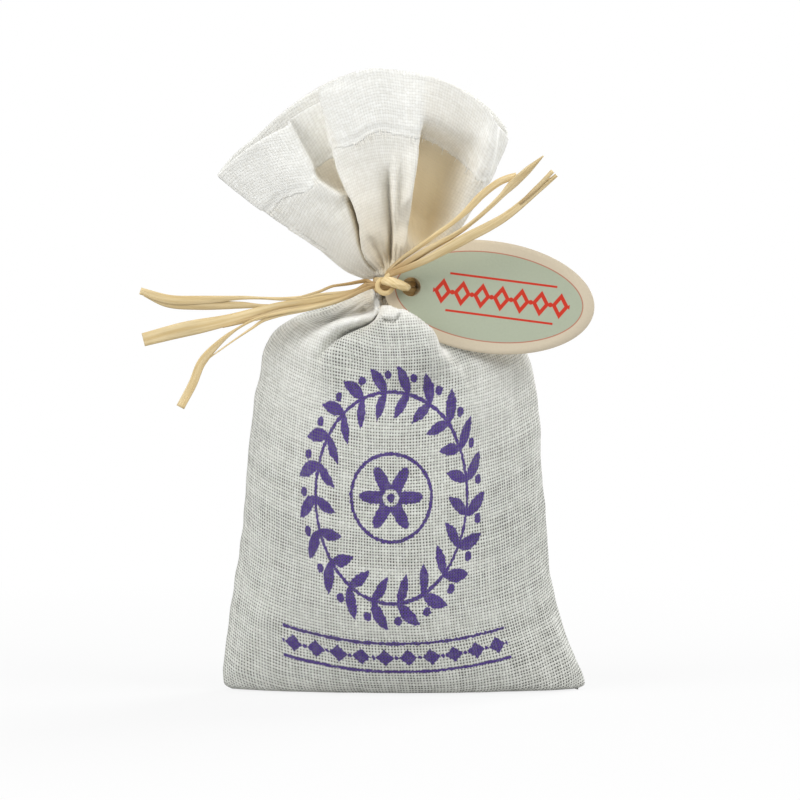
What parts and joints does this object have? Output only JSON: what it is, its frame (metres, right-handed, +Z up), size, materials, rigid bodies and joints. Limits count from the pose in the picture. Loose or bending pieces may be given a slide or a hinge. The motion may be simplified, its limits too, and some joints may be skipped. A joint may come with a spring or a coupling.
{
  "type": "lavender sachet",
  "caption": "Free-standing pouch of coarse cloth filled with dried buds, gathered at the neck by tied raffia that carries an oval card tag, with the loose cloth flaring open above the tie.",
  "frame": {"origin": "middle of the flat underside on which the pouch stands", "axes": "+X to the right and +Z up as seen from the front, the tagged front faces -Y"},
  "size_m": [0.129, 0.0549, 0.1793],
  "materials": {
    "cloth": "coarse plain weave, unbleached, matt",
    "dried_buds": "dry, matt",
    "thread": "matt",
    "raffia": "dry fibre, slightly glossy",
    "card": "printed, satin"
  },
  "bodies": {
    "bag": {"cloth_bag": "cloth", "lavender_filling": "dried_buds", "left_seam_thread": "thread", "right_seam_thread": "thread", "raffia_wrap_lower": "raffia", "raffia_wrap_upper": "raffia", "raffia_knot": "raffia", "raffia_tail_left_upper": "raffia", "raffia_tail_left_middle": "raffia", "raffia_tail_left_lower": "raffia", "raffia_tail_right_upper": "raffia", "raffia_tail_right_middle": "raffia", "raffia_tail_right_lower": "raffia"},
    "tag_loop": {"raffia_tag_loop": "raffia"},
    "tag": {"hang_tag": "card"}
  },
  "joints": [
    {"name": "tag_swing", "type": "hinge", "parent": "bag", "child": "tag_loop", "pos_m": [-0.0045, -0.00966, 0.1166], "axis": [0, 0, -1], "range_deg": [0, 20]},
    {"name": "tag_turn", "type": "hinge", "parent": "tag_loop", "child": "tag", "pos_m": [0.002, -0.00966, 0.1157], "axis": [-0.0346, -0.9894, 0.1409], "range_deg": [0, 40]}
  ]
}
